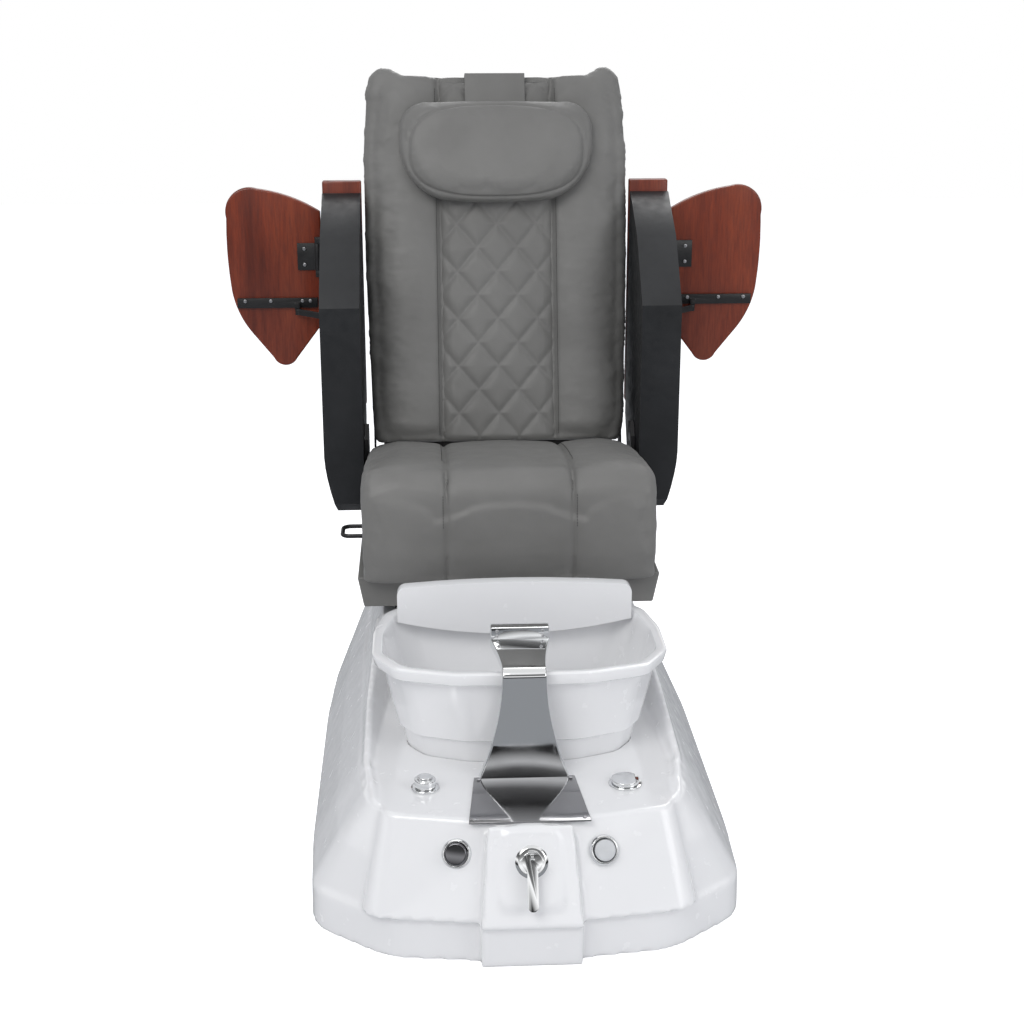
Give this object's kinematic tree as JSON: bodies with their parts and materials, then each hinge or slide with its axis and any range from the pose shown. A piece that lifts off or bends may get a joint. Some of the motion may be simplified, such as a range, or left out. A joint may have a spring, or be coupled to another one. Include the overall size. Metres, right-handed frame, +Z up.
{
  "type": "pedicure spa chair",
  "caption": "Pedicure spa chair with foot tub, chrome spout, sliding reclining seat, flip-up armrests and folding side trays.",
  "frame": {"origin": "on the floor, under the centre of the chair's bounding box", "axes": "+Z up, -Y towards the foot tub at the front, +X to the right in the front view"},
  "size_m": [1.217, 1.5606, 1.3967],
  "materials": {
    "white_gelcoat": "glossy gelcoat",
    "grey_leather": "soft satin grain",
    "black_plastic": "moulded satin",
    "mahogany": "satin lacquer",
    "chrome": "mirror",
    "dark_chrome": "mirror",
    "black_steel": "satin powder coat",
    "zinc_steel": "zinc plated",
    "brass": "cast",
    "grey_pipe": "moulded",
    "pump_housing": "moulded",
    "back_cover": "moulded texture"
  },
  "bodies": {
    "root": {"base_shell": "white_gelcoat", "tub_bowl": "white_gelcoat", "splash_panel": "white_gelcoat", "splash_brackets": "zinc_steel", "waterfall_spout": "chrome", "deck_plate": "chrome", "trim_screws": "zinc_steel", "control_bezels": "chrome", "faucet_escutcheon": "chrome", "mixing_valve": "brass", "sprayer_socket": "chrome", "drain_bezel": "chrome", "drain_pipe": "grey_pipe", "supply_pipes": "brass", "jet_pump": "pump_housing", "jet_grille": "white_gelcoat", "control_box": "pump_housing", "chassis": "black_steel", "base_frame": "black_steel", "slide_rails": "zinc_steel", "rear_access_panel": "white_gelcoat", "power_gland": "black_plastic"},
    "seat": {"seat_runners": "zinc_steel", "seat_frame": "black_steel", "seat_skirt": "grey_leather", "arm_brackets": "black_steel", "arm_pivot_pins": "zinc_steel", "seat_cushion": "grey_leather"},
    "release_lever": {"slide_lever": "black_steel"},
    "back": {"back_cushion": "grey_leather", "head_pillow": "grey_leather", "pillow_strap": "grey_leather", "back_frame": "black_steel", "back_shell": "back_cover"},
    "massage": {"massage_carriage": "pump_housing"},
    "kneading": {"kneading_heads": "grey_pipe"},
    "motor": {"actuator_motor": "pump_housing"},
    "ram": {"actuator_ram": "zinc_steel"},
    "hub": {"faucet_hub": "chrome"},
    "lever": {"faucet_lever": "chrome"},
    "knob": {"left_knob": "dark_chrome"},
    "button": {"air_button": "chrome"},
    "sprayer": {"hand_sprayer": "chrome"},
    "drain_control": {"drain_knob": "chrome"},
    "plug": {"drain_plug": "chrome"},
    "impeller": {"jet_impeller": "grey_pipe"},
    "arm_left": {"arm_left": "black_plastic", "arm_left_cap": "mahogany", "arm_left_hinge": "black_steel"},
    "tray_left": {"tray_left_board": "mahogany", "tray_left_bracket": "black_steel", "tray_left_screws": "zinc_steel"},
    "strut_left": {"tray_left_strut": "black_steel"},
    "arm_right": {"arm_right": "black_plastic", "arm_right_cap": "mahogany", "arm_right_hinge": "black_steel"},
    "tray_right": {"tray_right_board": "mahogany", "tray_right_bracket": "black_steel", "tray_right_screws": "zinc_steel"},
    "strut_right": {"tray_right_strut": "black_steel"}
  },
  "joints": [
    {"name": "seat_slide", "type": "slide", "parent": "root", "child": "seat", "axis": [0, -1, 0], "range_m": [0, 0.095]},
    {"name": "back_recline", "type": "hinge", "parent": "seat", "child": "back", "pos_m": [0, 0.474, 0.5], "axis": [-1, 0, 0], "range_deg": [0, 30]},
    {"name": "release_lever_lift", "type": "hinge", "parent": "seat", "child": "release_lever", "pos_m": [-0.262, 0.2, 0.462], "axis": [0, 1, 0], "range_deg": [0, 15], "stiffness_Nm_per_rad": 3, "springref_deg": -8.59},
    {"name": "massage_travel", "type": "slide", "parent": "back", "child": "massage", "axis": [0, 0.2706, 0.9627], "range_m": [0, 0.3]},
    {"name": "kneading_spin", "type": "hinge", "parent": "massage", "child": "kneading", "pos_m": [0, 0.6018, 0.8937], "axis": [1, 0, 0], "continuous": true},
    {"name": "actuator_tilt", "type": "hinge", "parent": "seat", "child": "motor", "pos_m": [0, 0.262, 0.404], "axis": [1, 0, 0], "range_deg": [0, 6]},
    {"name": "actuator_pull", "type": "slide", "parent": "motor", "child": "ram", "axis": [0, -0.9926, -0.1217], "range_m": [0, 0.04]},
    {"name": "faucet_turn", "type": "hinge", "parent": "root", "child": "hub", "pos_m": [0, -0.72165, 0.18], "axis": [0, -0.9036, 0.4283], "range_deg": [-60, 60]},
    {"name": "faucet_lift", "type": "hinge", "parent": "hub", "child": "lever", "pos_m": [0, -0.73725, 0.19846], "axis": [-1, 0, 0], "range_deg": [0, 25]},
    {"name": "knob_turn", "type": "hinge", "parent": "root", "child": "knob", "pos_m": [-0.125, -0.68899, 0.18], "axis": [-0.1612, -0.8891, 0.4283], "range_deg": [0, 270]},
    {"name": "button_press", "type": "slide", "parent": "root", "child": "button", "axis": [-0.1612, 0.8891, -0.4283], "range_m": [0, 0.004], "stiffness_N_per_m": 900, "springref_m": -0.003},
    {"name": "sprayer_pull", "type": "slide", "parent": "root", "child": "sprayer", "axis": [0, 0, 1], "range_m": [0, 0.06]},
    {"name": "drain_turn", "type": "hinge", "parent": "root", "child": "drain_control", "pos_m": [0.177, -0.548, 0.232], "axis": [0, 0, 1], "range_deg": [0, 180]},
    {"name": "plug_lift", "type": "slide", "parent": "root", "child": "plug", "axis": [0, 0, 1], "range_m": [0, 0.01]},
    {"name": "impeller_spin", "type": "hinge", "parent": "root", "child": "impeller", "pos_m": [0, -0.16708, 0.172], "axis": [0, 1, 0], "continuous": true},
    {"name": "arm_left_flip", "type": "hinge", "parent": "seat", "child": "arm_left", "pos_m": [-0.346, 0.43, 0.6], "axis": [1, 0, 0], "range_deg": [0, 90]},
    {"name": "tray_left_fold", "type": "hinge", "parent": "arm_left", "child": "tray_left", "pos_m": [-0.404, 0.598, 0.985], "axis": [0, 0, 1], "range_deg": [0, 90]},
    {"name": "strut_left_swing", "type": "hinge", "parent": "tray_left", "child": "strut_left", "pos_m": [-0.454, 0.594, 0.864], "axis": [0, 0, -1], "range_deg": [0, 135]},
    {"name": "arm_right_flip", "type": "hinge", "parent": "seat", "child": "arm_right", "pos_m": [0.346, 0.43, 0.6], "axis": [1, 0, 0], "range_deg": [0, 90]},
    {"name": "tray_right_fold", "type": "hinge", "parent": "arm_right", "child": "tray_right", "pos_m": [0.404, 0.598, 0.985], "axis": [0, 0, -1], "range_deg": [0, 90]},
    {"name": "strut_right_swing", "type": "hinge", "parent": "tray_right", "child": "strut_right", "pos_m": [0.454, 0.594, 0.864], "axis": [0, 0, 1], "range_deg": [0, 135]}
  ],
  "couplings": [
    {"joint": "actuator_tilt", "follows": "back_recline", "ratio": 0.14371},
    {"joint": "actuator_pull", "follows": "back_recline", "m_per_rad": 0.063192},
    {"joint": "strut_left_swing", "follows": "tray_left_fold", "ratio": 1.4643},
    {"joint": "strut_right_swing", "follows": "tray_right_fold", "ratio": 1.4643}
  ]
}
